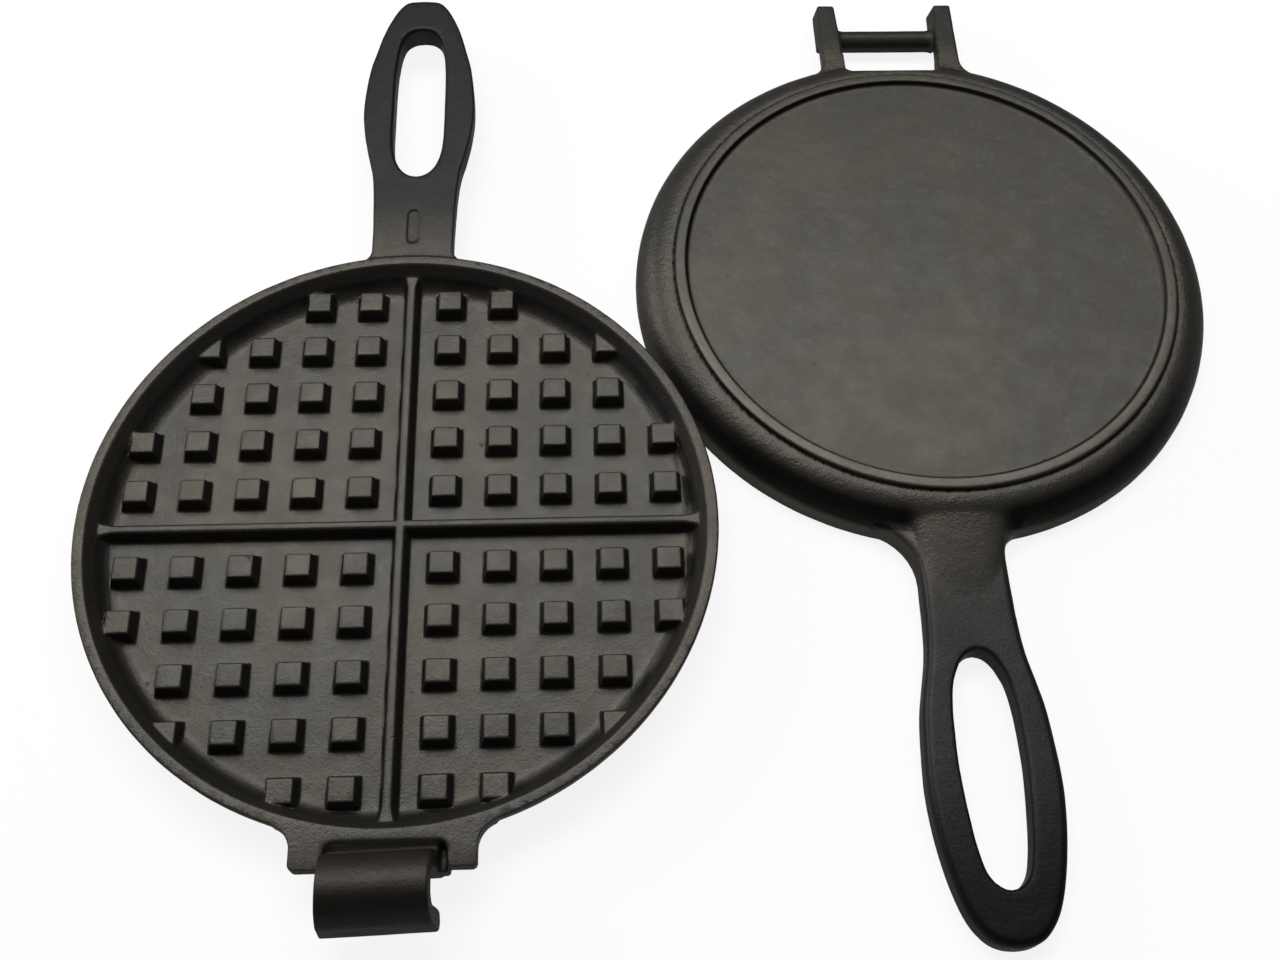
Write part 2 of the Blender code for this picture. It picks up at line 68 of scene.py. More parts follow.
# Studs and crossing ribs
STUD_PITCH = 17.7 * MM
STUD_TO_RIB = 13.3 * MM
STUD_HALF = 3.75 * MM
STUD_DRAFT = 1.2 * MM
STUD_ROUND = 0.35 * MM
STUD_ROWS = 5
STUD_TRIM_RADIUS = 95.6 * MM
STUD_TRIM_DEPTH = 30 * MM
RIB_HALF = 1.4 * MM
RIB_EDGE = 0.5 * MM
RIB_DRAFT = 1.3 * MM
RIB_FLARE = 2.8 * MM
RIB_FLARE_LENGTH = 4.5 * MM

# Handles
HANDLE_FACE = 0.8 * MM
HANDLE_BACK = 9.8 * MM
BACK_ROUND = 2.6 * MM
FACE_ROUND = 0.8 * MM
NECK_HALF = 14.0 * MM
GRIP_HALF = 20.1 * MM
SLOT_HALF = 9.7 * MM
SLOT_ROUND = 1.2 * MM
SADDLE_START = 12 * MM
SADDLE_SPREAD = 6.0 * MM
SADDLE_INSET = 2.0 * MM
SADDLE_RISE = 5.0 * MM
SADDLE_SIDE_RISE = 2.7 * MM
SADDLE_SINK = 0.3 * MM
SADDLE_SIDE_SINK = 1.5 * MM
SADDLE_STEPS = 12
DIMPLE_HALF = 2.3 * MM
DIMPLE_NEAR = 108.0 * MM
DIMPLE_FAR = 118.2 * MM
DIMPLE_DEPTH = 0.6 * MM
DIMPLE_FOOT = 0.4 * MM
DIMPLE_FLARE = 1.2 * MM

# Hinge
HINGE_Y = 114.0 * MM
HINGE_Z = 4.5 * MM
BAR_RADIUS = 4.0 * MM
BAR_FLARE = 2.8 * MM
BAR_SINK = 0.5 * MM
# Places along the bar's flared ends, as shares of the flare
BAR_FLARE_SHARES = (0.0, 0.06, 0.15, 0.3, 0.5, 0.75, 1.0)

# Lug and hook
LUG_HALF = 26.3 * MM
LUG_LENGTH = 7.7 * MM
LUG_THICKNESS = 6.0 * MM
LUG_FILLET = 8.0 * MM
LUG_CORNER = 1.5 * MM
RECESS_HALF = 17.9 * MM
RECESS_START = 0.5 * MM
RECESS_DEPTH = 4.0 * MM
RECESS_CORNER = 3.0 * MM
RECESS_LEFT_FILL = 1.6 * MM
# Rounded lip of the recess, as (z, growth) in millimetres
RECESS_LIP = ((0.4, 0.3), (1.2, 0.0))
RECESS_FLARE = 2.4 * MM
ROOT_HALF = 18.5 * MM
ROOT_LENGTH = 8.6 * MM
ROOT_DEPTH = 11.2 * MM
ROOT_ROUND = 2.4 * MM
ROOT_SIDE_ROUND = 1.0 * MM
ROOT_START = 1.5 * MM
HOOK_HALF = 14.5 * MM
HOOK_DRAFT = 1.5 * MM
HOOK_INNER = 4.8 * MM
HOOK_OUTER = 10.2 * MM
HOOK_TIP_Z = 7.2 * MM
HOOK_TIP_RADIUS = 3.1 * MM
HOOK_LEFT_ROUND = 0.4 * MM
HOOK_RIGHT_ROUND = 0.5 * MM
HOOK_PULL = (-1.2 * MM, 0.9 * MM, 0.3 * MM)
# Soft valley behind the hook: its far side, as (y past the hook's back end, z) in millimetres
VALLEY_BACK = ((5.6, 1.0), (6.4, 0.4))
VALLEY_RADIUS = 2.0 * MM
VALLEY_HEIGHT = -0.8 * MM

# Ears
EAR_GAP = 18.0 * MM
EAR_SPREAD = 1.4 * MM
EAR_THICK = 8.0 * MM
EAR_TIP_THICK = 6.6 * MM
EAR_TOP = 12.4 * MM
EAR_RELIEF = 5.2 * MM
EAR_FOOT = 0.3 * MM
EAR_FOOT_START = 9.5 * MM
EAR_FOOT_RUN = 3.0 * MM
EAR_TOP_LENGTH = 25.6 * MM
EAR_LENGTH = 30.5 * MM
EAR_EDGE = 0.7 * MM
EAR_FOOT_FILLET = 3.5 * MM
EAR_TOP_FILLET = 9.0 * MM
EAR_INNER_FILLET = 2.4 * MM
EAR_FLAT = 1.3 * MM
EAR_FLAT_TOP = 3.5 * MM
EAR_FLAT_LEAN = 0.78
EAR_SINK = 16.0 * MM
EAR_TIP_ROUND = 0.8 * MM
EAR_STEPS = 8
EAR_CORNER_PLACE = (16.5 * MM, 93.5 * MM)
EAR_CORNER_SIZE = (5.0 * MM, 15.0 * MM)
EAR_SPACE_PLAY = 0.05 * MM
EAR_SPACE_PAST = 5 * MM

# How far cutters run past and pieces run into each other, and the play when points are chosen
OVERRUN = 2.0 * MM
INSIDE = 3.0 * MM
ROOT_RADIUS = 97.2 * MM
PLAY = 0.1 * MM

# Half outlines, as (share of the stretch, share of the width gained or kept), and the handles
HOOK_SWELL = ((0.0, 0.0), (0.30, 0.12), (0.46, 0.28), (0.61, 0.59), (0.79, 0.88))
HOOK_END = ((0.0, 1.0), (0.31, 0.935), (0.51, 0.825), (0.70, 0.70), (0.855, 0.545),
            (0.945, 0.41), (0.99, 0.27), (1.0, 0.0))
YOKE_SWELL = ((0.0, 0.0), (0.25, 0.07), (0.40, 0.22), (0.56, 0.56), (0.71, 0.82))
YOKE_END = ((0.0, 1.0), (0.25, 0.97), (0.45, 0.90), (0.62, 0.81), (0.765, 0.70),
            (0.87, 0.57), (0.95, 0.40), (0.99, 0.20), (1.0, 0.0))
HOOK_SLOT_SIDE = ((0.0, 0.0), (0.005, 0.19), (0.014, 0.32), (0.028, 0.45), (0.05, 0.58),
                  (0.074, 0.68), (0.118, 0.80), (0.165, 0.87), (0.21, 0.91), (0.3, 0.94),
                  (0.6, 0.94), (0.72, 0.92), (0.815, 0.87), (0.86, 0.83), (0.905, 0.77),
                  (0.94, 0.69), (0.965, 0.585), (0.985, 0.42), (0.995, 0.25), (1.0, 0.0))
YOKE_SLOT_SIDE = ((0.0, 0.0), (0.004, 0.16), (0.011, 0.28), (0.025, 0.42), (0.045, 0.545),
                  (0.067, 0.645), (0.125, 0.83), (0.182, 0.93), (0.24, 0.985), (0.3, 1.02),
                  (0.45, 1.05), (0.55, 1.03), (0.64, 0.985), (0.757, 0.905), (0.814, 0.85),
                  (0.872, 0.77), (0.915, 0.69), (0.945, 0.59), (0.97, 0.45), (0.987, 0.29),
                  (0.996, 0.16), (1.0, 0.0))
HOOK_HANDLE = {"length": 119.5 * MM, "neck": 12 * MM, "grip": 68 * MM,
               "fillets": (5 * MM, 5 * MM), "swell": HOOK_SWELL, "end": HOOK_END,
               "slot_side": HOOK_SLOT_SIDE, "slot_start": 35.6 * MM, "slot_end": 104.8 * MM}
YOKE_HANDLE = {"length": 126.5 * MM, "neck": 15 * MM, "grip": 78 * MM,
               "fillets": (19 * MM, 9.5 * MM), "swell": YOKE_SWELL, "end": YOKE_END,
               "slot_side": YOKE_SLOT_SIDE, "slot_start": 38.6 * MM, "slot_end": 110.6 * MM}
HOOK_SADDLE_LENGTH = 11 * MM
YOKE_SADDLE_LENGTH = 27 * MM

# Steps of curves and turns, and the grain of the finished castings
CURVE_STEPS = 5
ARC_STEPS = 8
TURN_STEPS = 192
VOXEL = 0.36 * MM
TRIANGLES = 194000
UNEVENNESS = 0.12 * MM
UNEVEN_SIZE = 7.0 * MM

# Camera, fitted to the photograph
CAMERA_AZIMUTH = math.radians(-4.404)
CAMERA_ELEVATION = math.radians(62.842)
CAMERA_ROLL = math.radians(2.835)
CAMERA_TARGET = HOOK_PLATE + Vector((75.852, 13.770, -4.2)) * MM
CAMERA_DISTANCE = 457.006 * MM
CAMERA_LENS = 40.09

# Softboxes: azimuth and elevation in degrees, distance, width and height in metres, watts
SOFTBOXES = (("back_softbox", -2, 63, 2.0, 2.3, 0.85, 35),
             ("left_softbox", -44, 65, 2.1, 0.8, 0.8, 7),
             ("side_card", -65, 18, 2.0, 1.0, 0.6, 18))
WORLD_STRENGTH = 0.18
FLOOR_SIZE = 6.0
FLOOR_GLOW = 0.86


# ---- Working in edit mode ----

def only(thing):
    """Select one object and make it the active one."""
    bpy.ops.object.select_all(action="DESELECT")
    thing.select_set(True)
    bpy.context.view_layer.objects.active = thing


def edit(thing, kind="VERT"):
    """Open an object in edit mode with nothing selected."""
    only(thing)
    bpy.ops.object.mode_set(mode="EDIT")
    bpy.ops.mesh.select_mode(type=kind)
    bpy.ops.mesh.select_all(action="DESELECT")


def leave_edit():
    """Go back to object mode."""
    bpy.ops.object.mode_set(mode="OBJECT")


def apply_modifier(thing, kind, **settings):
    """Add a modifier, set it and apply it."""
    only(thing)
    modifier = thing.modifiers.new(kind.lower(), kind)
    for key, value in settings.items():
        setattr(modifier, key, value)
    bpy.ops.object.modifier_apply(modifier=modifier.name)


def cut(thing, tool, operation="DIFFERENCE"):
    """Cut a piece with a tool, which is used up."""
    apply_modifier(thing, "BOOLEAN", operation=operation, solver="EXACT", object=tool)
    bpy.data.objects.remove(tool, do_unlink=True)


def move_outline(thing, outline, wanted):
    """Move the selected points, which lie on one outline, onto the same points of the next."""
    work = bmesh.from_edit_mesh(thing.data)
    for vertex in work.verts:
        if vertex.select:
            nearest = min(range(len(outline)),
                          key=lambda index: (outline[index] - vertex.co).length_squared)
            vertex.co = wanted[nearest]
    bmesh.update_edit_mesh(thing.data)


def drawn_out(name, rings):
    """Draw an outline on a filled circle and extrude it from ring to ring."""
    rings = [[Vector(point) for point in ring] for ring in rings]
    bpy.ops.mesh.primitive_circle_add(vertices=len(rings[0]), radius=1.0, fill_type="NGON")
    thing = bpy.context.object
    thing.name = name
    circle = [vertex.co.copy() for vertex in thing.data.vertices]
    edit(thing)
    bpy.ops.mesh.select_all(action="SELECT")
    move_outline(thing, circle, rings[0])
    for ring, following in zip(rings, rings[1:]):
        bpy.ops.mesh.extrude_region_move(TRANSFORM_OT_translate={"value": (0.0, 0.0, 0.0)})
        move_outline(thing, ring, following)
    bpy.ops.mesh.select_all(action="SELECT")
    bpy.ops.mesh.normals_make_consistent(inside=False)
    leave_edit()
    return thing


def upright(name, outline, levels):
    """Draw (x, y) points out through (z, growth) levels."""
    return drawn_out(name, [[(x, y, z) for x, y in widened(outline, growth)]
                            for z, growth in levels])


def sideways(name, profile, half_width_at):
    """Draw (y, z) points out along X, to both sides."""
    return drawn_out(name, [[(side * half_width_at(z), y, z) for y, z in profile]
                            for side in (-1, 1)])


def round_edges(thing, chosen, radius, segments=3):
    """Bevel the edges whose two ends are both chosen."""
    edit(thing, "EDGE")
    work = bmesh.from_edit_mesh(thing.data)
    for edge in work.edges:
        if all(chosen(vertex.co) for vertex in edge.verts):
            edge.select_set(True)
    bmesh.update_edit_mesh(thing.data)
    bpy.ops.mesh.bevel(offset=radius, segments=segments, profile=0.5, affect="EDGES")
    leave_edit()


# ---- Drawing outlines ----

def arc(centre, radius, start, end, steps=ARC_STEPS):
    """Points on a circle about centre, from one angle to the other."""
    turns = [start + (end - start) * step / steps for step in range(steps + 1)]
    return [(centre[0] + radius * math.cos(a), centre[1] + radius * math.sin(a)) for a in turns]


def flowing(points, steps=CURVE_STEPS):
    """Smooth open curve through the points."""
    padded = [points[0]] + list(points) + [points[-1]]
    curve = []
    for before, start, end, after in zip(padded, padded[1:], padded[2:], padded[3:]):
        for step in range(steps):
            t = step / steps
            curve.append(tuple(
                0.5 * (2 * b + (c - a) * t + (2 * a - 5 * b + 4 * c - d) * t ** 2
                       + (3 * b - a - 3 * c + d) * t ** 3)
                for a, b, c, d in zip(before, start, end, after)))
    curve.append(tuple(points[-1]))
    return curve


def widened(outline, distance):
    """Closed outline moved outwards; it runs counter-clockwise."""
    if distance == 0.0:
        return outline
    moved = []
    befores, afters = outline[-1:] + outline[:-1], outline[1:] + outline[:1]
    for before, point, after in zip(befores, outline, afters):
        along = Vector((after[0] - before[0], after[1] - before[1])).normalized()
        moved.append((point[0] + along.y * distance, point[1] - along.x * distance))
    return moved


def both_sides(side, other=None):
    """Closed outline of one half outline and the mirror image of it or of another one."""
    mirrored = [(-x, y) for x, y in other or side]
    back = list(reversed(side))
    if back[0][0] == 0.0:
        back = back[1:]
    if mirrored[0][0] == 0.0:
        mirrored = mirrored[1:]
    return mirrored + back


def root_fillet(side, radius, plate_radius):
    """Fillet from the plate's round edge to an outer side face at x = side."""
    centre_x = side + radius
    centre_y = math.sqrt((plate_radius + radius) ** 2 - centre_x ** 2)
    start = math.atan2(-centre_y, -centre_x)
    return arc((centre_x, centre_y), radius, start, -math.pi)


def root_arc(side_point):
    """Points along the inside of the rim, from the middle out to below a side point."""
    half = math.atan2(side_point[0], side_point[1])
    return [(ROOT_RADIUS * math.sin(half * step / 6), ROOT_RADIUS * math.cos(half * step / 6))
            for step in range(7)]


def shoulder_radius(height):
    """Radius of the rounded shoulder at a height above the rim plane."""
    turn = math.asin((height - WALL_UPRIGHT) / (BACK - WALL_UPRIGHT))
    return PLATE_RADIUS - SHOULDER + SHOULDER * math.cos(turn)


# ---- The round plate ----

def plate():
    """Turn the dished plate from its floor over the wall, rim and shoulder to the ring and disc."""
    profile = [(r * MM, z * MM) for r, z in WALL_FOOT]
    profile += [(WALL_TOP_OF_STUDS, STUD_TOP), (RIM_INNER - RIM_EDGE / 2, RIM_EDGE),
               (RIM_INNER + RIM_EDGE / 2, 0.0), (PLATE_RADIUS - RIM_EDGE, 0.0),
               (PLATE_RADIUS, RIM_EDGE)]
    profile += [(PLATE_RADIUS - SHOULDER + SHOULDER * math.cos(a),
                 WALL_UPRIGHT + (BACK - WALL_UPRIGHT) * math.sin(a))
                for a in [math.pi / 2 * step / SHOULDER_STEPS
                          for step in range(SHOULDER_STEPS + 1)]]
    ring_inner = RING_OUTER - RING_WIDTH
    profile += [(RING_OUTER + GROOVE_LIP, BACK), (RING_OUTER + GROOVE_EDGE, BACK - GROOVE_DEPTH),
                (RING_OUTER + GROOVE_FOOT, BACK - GROOVE_DEPTH), (RING_OUTER, RING_TOP - RING_EDGE),
                (RING_OUTER - RING_EDGE, RING_TOP), (ring_inner, RING_TOP),
                (ring_inner - RING_DRAFT, BACK)]
    radius, height = profile[0]
    bpy.ops.mesh.primitive_circle_add(vertices=TURN_STEPS, radius=radius, fill_type="NGON",
                                      location=(0.0, 0.0, height))
    thing = bpy.context.object
    bpy.ops.object.transform_apply()
    edit(thing)
    bpy.ops.mesh.select_all(action="SELECT")
    for next_radius, next_height in profile[1:]:
        bpy.ops.mesh.extrude_region_move(
            TRANSFORM_OT_translate={"value": (0.0, 0.0, next_height - height)})
        if next_radius != radius:
            share = next_radius / radius
            bpy.ops.transform.resize(value=(share, share, 1.0), center_override=(0.0, 0.0, 0.0))
        radius, height = next_radius, next_height
    bpy.ops.mesh.select_all(action="SELECT")
    bpy.ops.mesh.normals_make_consistent(inside=False)
    leave_edit()
    return thing


def stud():
    """Model one drafted stud with rounded corners at the middle of the plate."""
    depth = FLOOR + INSIDE / 2 - STUD_TOP
    bpy.ops.mesh.primitive_cube_add(size=1.0, location=(0.0, 0.0, STUD_TOP + depth / 2),
                                    scale=(2 * STUD_HALF, 2 * STUD_HALF, depth))
    thing = bpy.context.object
    bpy.ops.object.transform_apply()
    edit(thing, "FACE")
    work = bmesh.from_edit_mesh(thing.data)
    for face in work.faces:
        if face.normal.z > 0.5:
            face.select_set(True)
    bmesh.update_edit_mesh(thing.data)
    growth = 1.0 + STUD_DRAFT * depth / (FLOOR - STUD_TOP) / STUD_HALF
    bpy.ops.transform.resize(value=(growth, growth, 1.0), center_override=(0.0, 0.0, 0.0))
    leave_edit()
    round_edges(thing, lambda point: point.z < STUD_TOP + PLAY, STUD_ROUND, 2)
    return thing


def studs():
    """Copy the stud to every place on the grid and trim the outer ones along the wall."""
    first = stud()
    places = [STUD_TO_RIB + STUD_PITCH * index for index in range(STUD_ROWS)]
    copies = []
    for x in places:
        for y in places:
            if math.hypot(x, y) < WALL_TOP_OF_STUDS:
                for side_x in (-1, 1):
                    for side_y in (-1, 1):
                        twin = first.copy()
                        twin.data = first.data.copy()
                        twin.data.transform(Matrix.Translation((side_x * x, side_y * y, 0.0)))
                        bpy.context.scene.collection.objects.link(twin)
                        copies.append(twin)
    bpy.data.objects.remove(first, do_unlink=True)
    grid = joined(copies)
    bpy.ops.mesh.primitive_cylinder_add(vertices=TURN_STEPS, radius=STUD_TRIM_RADIUS,
                                        depth=STUD_TRIM_DEPTH, location=(0.0, 0.0, FLOOR))
    cut(grid, bpy.context.object, "INTERSECT")
    return grid


def rib(turned):
    """Draw one rib across the plate, wider where it meets the wall."""
    flare_start = WALL_TOP_OF_STUDS - RIB_FLARE_LENGTH

    def outline(growth):
        side = [(RIB_HALF + growth, 0.0), (RIB_HALF + growth, flare_start * 0.5),
                (RIB_HALF + growth, flare_start), (RIB_FLARE + growth, STUD_TRIM_RADIUS)]
        end = side + [(-x, y) for x, y in reversed(side)]
        return end + [(-x, -y) for x, y in end[1:-1]]

    foot = FLOOR + INSIDE / 2
    draft = RIB_DRAFT * (foot - STUD_TOP) / (FLOOR - STUD_TOP)
    rings = [(outline(-RIB_EDGE), STUD_TOP), (outline(0.0), STUD_TOP + RIB_EDGE),
             (outline(draft), foot)]
    if turned:
        return drawn_out("rib", [[(y, -x, z) for x, y in points] for points, z in rings])
    return drawn_out("rib", [[(x, y, z) for x, y in points] for points, z in rings])


# ---- Handles ----

def handle(length, neck, grip, fillets, swell, end, slot_side, slot_start, slot_end):
    """Draw a handle with its left and right fillets, round its edges and cut its long slot."""
    side = [(NECK_HALF + (GRIP_HALF - NECK_HALF) * width,
             PLATE_RADIUS + neck + (grip - neck) * along) for along, width in swell]
    side += [(GRIP_HALF * width, PLATE_RADIUS + grip + (length - grip) * along)
             for along, width in end]
    halves = []
    for fillet in fillets:
        points = root_fillet(NECK_HALF, fillet, PLATE_RADIUS) + flowing(side)
        halves.append(root_arc(points[0]) + points)
    outline = [(-x, -y) for x, y in both_sides(*halves)]
    thing = upright("handle", outline, ((HANDLE_FACE, 0.0), (HANDLE_BACK, 0.0)))
    outside = ROOT_RADIUS + 3 * PLAY
    round_edges(thing, lambda p: p.xy.length > outside and p.z > HANDLE_BACK - PLAY, BACK_ROUND, 6)
    round_edges(thing, lambda p: p.xy.length > outside and p.z < HANDLE_FACE + PLAY, FACE_ROUND, 3)
    half = flowing([(SLOT_HALF * width, PLATE_RADIUS + slot_start + (slot_end - slot_start) * along)
                    for along, width in slot_side])
    slot = [(-x, -y) for x, y in half + [(-x, y) for x, y in reversed(half[1:-1])]]
    flare = SLOT_ROUND + OVERRUN
    cut(thing, upright("slot", slot, ((HANDLE_FACE - OVERRUN, flare),
                                      (HANDLE_FACE + SLOT_ROUND * 0.4, SLOT_ROUND * 0.3),
                                      (HANDLE_FACE + SLOT_ROUND, 0.0),
                                      (HANDLE_BACK - SLOT_ROUND, 0.0),
                                      (HANDLE_BACK - SLOT_ROUND * 0.4, SLOT_ROUND * 0.3),
                                      (HANDLE_BACK + OVERRUN, flare))))
    return thing


def saddle(length):
    """Draw the soft hump that carries the shoulder of the plate over onto the handle's back."""
    rings = []
    for step in range(SADDLE_STEPS + 1):
        share = step / SADDLE_STEPS
        y = PLATE_RADIUS - SADDLE_START + (length + SADDLE_START) * share
        width = NECK_HALF - SADDLE_INSET + SADDLE_SPREAD * (1.0 - share) ** 2
        top = HANDLE_BACK - SADDLE_SINK + SADDLE_RISE * (1.0 - share) ** 1.5
        low = HANDLE_BACK - SADDLE_SIDE_SINK + SADDLE_SIDE_RISE * (1.0 - share) ** 2
        turns = [math.pi * part / 16 for part in range(17)]
        arch = [(width * math.copysign(abs(math.cos(a)) ** 0.85, math.cos(a)),
                 low + (top - low) * math.sin(a)) for a in turns]
        rings.append([(x, -y, z) for x, z in arch])
    return drawn_out("saddle", rings)


def dimple(thing):
    """Press a plain oblong dimple into the face of a handle near its root."""
    outline = arc((0.0, -DIMPLE_NEAR), DIMPLE_HALF, 0.0, math.pi)
    outline += arc((0.0, -DIMPLE_FAR), DIMPLE_HALF, math.pi, math.tau)
    cut(thing, upright("dimple", outline, ((HANDLE_FACE - OVERRUN, DIMPLE_FLARE),
                                           (HANDLE_FACE + DIMPLE_DEPTH, -DIMPLE_FOOT))))
    return thing


# ---- Lug and hook ----

def lug():
    """Draw the flat lug and cut the recess between its wings."""
    end = PLATE_RADIUS + LUG_LENGTH
    side = root_fillet(LUG_HALF, LUG_FILLET, PLATE_RADIUS)
    side += arc((LUG_HALF - LUG_CORNER, end - LUG_CORNER), LUG_CORNER, 0.0, math.pi / 2)
    outline = both_sides(root_arc(side[0]) + side)
    thing = upright("lug", outline, ((0.0, 0.0), (LUG_THICKNESS, 0.0)))
    start = PLATE_RADIUS + RECESS_START
    half = [(0.0, start)] + arc((RECESS_HALF - RECESS_CORNER, start + RECESS_CORNER), RECESS_CORNER,
                                -math.pi / 2, 0.0)
    half.append((RECESS_HALF, end + OVERRUN))
    space = half + [(RECESS_LEFT_FILL - x, y) for x, y in reversed(half[1:])]
    lip = [(z * MM, growth * MM) for z, growth in RECESS_LIP]
    cut(thing, upright("recess", space, [(-OVERRUN, RECESS_FLARE), *lip, (RECESS_DEPTH, 0.0)]))
    return thing


def hook_root():
    """Draw the block under the lug that the hook grows from."""
    front = PLATE_RADIUS + ROOT_LENGTH
    back = PLATE_RADIUS - 2 * INSIDE
    profile = [(back, RECESS_DEPTH + ROOT_START), (back + 5 * MM, RECESS_DEPTH),
               (front, RECESS_DEPTH)]
    profile += arc((front - ROOT_ROUND, ROOT_DEPTH - ROOT_ROUND), ROOT_ROUND, 0.0, math.pi / 2)
    profile.append((back, ROOT_DEPTH))
    thing = sideways("hook_root", profile, lambda z: ROOT_HALF)
    round_edges(thing, lambda p: p.x < -RECESS_HALF and p.y > PLATE_RADIUS, ROOT_SIDE_ROUND)
    round_edges(thing, lambda p: p.x > RECESS_HALF and p.y > PLATE_RADIUS, ROOT_SIDE_ROUND)
    return thing


def hook():
    """Draw the open hook out to both sides and round its two ends."""
    axis = (HINGE_Y, -HINGE_Z)
    tip = (HINGE_Y + (HOOK_INNER + HOOK_OUTER) / 2, HOOK_TIP_Z - HOOK_TIP_RADIUS)
    back = PLATE_RADIUS - 2 * INSIDE
    bottom = ROOT_DEPTH - 0.4 * MM
    valley = (HINGE_Y - HOOK_OUTER - VALLEY_RADIUS, VALLEY_HEIGHT)
    profile = [(back, RECESS_DEPTH + ROOT_START)]
    profile += [(back + y * MM, z * MM) for y, z in VALLEY_BACK]
    profile += arc(valley, VALLEY_RADIUS, math.pi / 2, 0.0)
    profile += arc(axis, HOOK_OUTER, math.pi, math.tau, 28)
    profile += arc(tip, HOOK_TIP_RADIUS, 0.0, math.pi, 12)
    profile += reversed(arc(axis, HOOK_INNER, math.pi, math.tau, 20))
    profile += arc((HINGE_Y - HOOK_INNER - ROOT_ROUND, bottom - ROOT_ROUND), ROOT_ROUND,
                   0.0, math.pi / 2)
    profile.append((back, bottom))
    crown = -HINGE_Z - HOOK_OUTER
    slope = HOOK_DRAFT / (HOOK_TIP_Z - crown)
    thing = sideways("hook", profile, lambda z: HOOK_HALF + slope * (z - crown))
    round_edges(thing, lambda p: p.x < -HOOK_HALF / 2, HOOK_LEFT_ROUND)
    round_edges(thing, lambda p: p.x > HOOK_HALF / 2, HOOK_RIGHT_ROUND)
    return pulled_end(thing)


def pulled_end(thing):
    """Pull the left end of the hook a little out and forwards, as the casting came out."""
    edit(thing)
    work = bmesh.from_edit_mesh(thing.data)
    for vertex in work.verts:
        vertex.select_set(vertex.co.x < -HOOK_HALF / 2 and vertex.co.y > PLATE_RADIUS)
    work.select_flush_mode()
    bmesh.update_edit_mesh(thing.data)
    bpy.ops.transform.translate(value=HOOK_PULL)
    leave_edit()
    return thing


# ---- Ears and bar ----

def ear_section(inner, outer, inner_top, outer_top, foot):
    """Eight-sided section of an ear from the (x, y) points of its sides at the foot and top."""
    return [(inner[0], inner[1], foot + EAR_EDGE), (inner[0] + EAR_EDGE, inner[1], foot),
            (outer[0] - EAR_EDGE, outer[1], foot), (outer[0], outer[1], foot + EAR_EDGE),
            (outer_top[0], outer_top[1], EAR_TOP - EAR_EDGE),
            (outer_top[0] - EAR_EDGE, outer_top[1], EAR_TOP),
            (inner_top[0] + EAR_EDGE, inner_top[1], EAR_TOP),
            (inner_top[0], inner_top[1], EAR_TOP - EAR_EDGE)]


def ear():
    """Draw the +X ear from inside the plate to its sloped end."""
    outer_side = EAR_GAP + EAR_THICK
    flat = PLATE_RADIUS - EAR_FLAT
    inner = arc((EAR_GAP - EAR_INNER_FILLET, flat + EAR_INNER_FILLET - 0.4 * MM), EAR_INNER_FILLET,
                -math.pi / 2, 0.0)
    outer = root_fillet(outer_side, EAR_FOOT_FILLET, PLATE_RADIUS)
    outer_top = root_fillet(outer_side, EAR_TOP_FILLET, shoulder_radius(EAR_TOP))
    inner_top = [(point[0], level[1]) for point, level in zip(inner, outer_top)]
    roots = (inner, outer, inner_top, outer_top)
    hidden = [(points[0][0], PLATE_RADIUS - EAR_SINK) for points in roots]
    sections = [ear_section(*hidden, EAR_RELIEF)]
    sections += [ear_section(*sides, EAR_RELIEF) for sides in zip(*roots)]
    start = inner[-1][1]
    tip = PLATE_RADIUS + EAR_LENGTH
    for step in range(EAR_STEPS + 1):
        share = step / EAR_STEPS
        y = PLATE_RADIUS + EAR_FOOT_START + EAR_FOOT_RUN * share
        foot = EAR_RELIEF + (EAR_FOOT - EAR_RELIEF) * (1.0 - math.cos(math.pi * share)) / 2
        spread = EAR_SPREAD * (y - start) / (tip - start)
        thick = EAR_THICK + (EAR_TIP_THICK - EAR_THICK) * spread / EAR_SPREAD
        near = (EAR_GAP + spread, y)
        far = (near[0] + thick, y)
        sections.append(ear_section(near, far, near, far, foot))
    x = EAR_GAP + EAR_SPREAD
    top_end = PLATE_RADIUS + EAR_TOP_LENGTH
    sections.append(ear_section((x, tip), (x + EAR_TIP_THICK, tip), (x, top_end),
                                (x + EAR_TIP_THICK, top_end), EAR_FOOT))
    thing = drawn_out("ear", sections)
    round_edges(thing, lambda p: p.y > top_end - PLAY, EAR_TIP_ROUND)
    return thing


def mirrored(thing):
    """Copy a piece to the other side of the Y axis."""
    twin = thing.copy()
    twin.data = thing.data.copy()
    twin.data.transform(Matrix.Scale(-1.0, 4, Vector((1.0, 0.0, 0.0))))
    bpy.context.scene.collection.objects.link(twin)
    edit(twin)
    bpy.ops.mesh.select_all(action="SELECT")
    bpy.ops.mesh.normals_make_consistent(inside=False)
    leave_edit()
    return twin


def bar():
    """Draw the hinge bar between the ears, thicker where it runs into them."""
    face = EAR_GAP + EAR_SPREAD / 2
    stations = [(face + BAR_SINK, BAR_FLARE)]
    stations += [(face - BAR_FLARE * share, BAR_FLARE * (1.0 - math.sqrt(1.0 - (1.0 - share) ** 2)))
                 for share in BAR_FLARE_SHARES]
    stations += [(-x, flare) for x, flare in reversed(stations)]
    turns = [math.tau * step / 32 for step in range(32)]
    fuller = [0.3 + 0.7 * math.sqrt(max(0.0, math.sin(a))) for a in turns]
    return drawn_out("bar", [[(x, HINGE_Y + (BAR_RADIUS + flare * share) * math.cos(a),
                               HINGE_Z + (BAR_RADIUS + 0.5 * flare * share) * math.sin(a))
                              for a, share in zip(turns, fuller)] for x, flare in stations])


